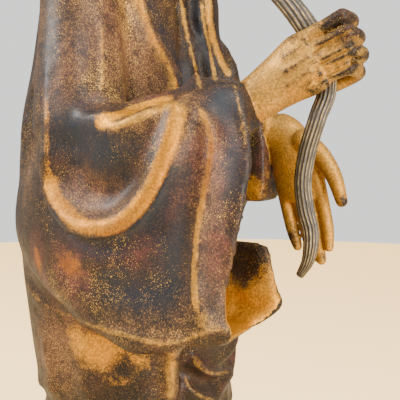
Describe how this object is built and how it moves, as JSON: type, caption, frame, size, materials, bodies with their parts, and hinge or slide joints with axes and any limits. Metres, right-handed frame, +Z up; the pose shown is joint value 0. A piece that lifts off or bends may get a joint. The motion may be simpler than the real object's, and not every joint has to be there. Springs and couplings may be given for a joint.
{
  "type": "luohan figure",
  "caption": "Standing robed luohan in cast bronze with worn gilding, a long eyebrow held in the raised right fist, the left hand lowered, on a low oval plinth.",
  "frame": {"origin": "centre of the plinth's underside, where the statue stands", "axes": "+Z up along the figure, -Y the way the figure faces, -X its right hand"},
  "size_m": [0.11, 0.1298, 0.3362],
  "materials": {
    "patinated_bronze": "dark lacquered bronze with worn gilding, semi-gloss",
    "base_bronze": "dark lacquered bronze, semi-gloss"
  },
  "bodies": {
    "root": {"figure": "patinated_bronze", "base": "base_bronze"}
  },
  "joints": []
}
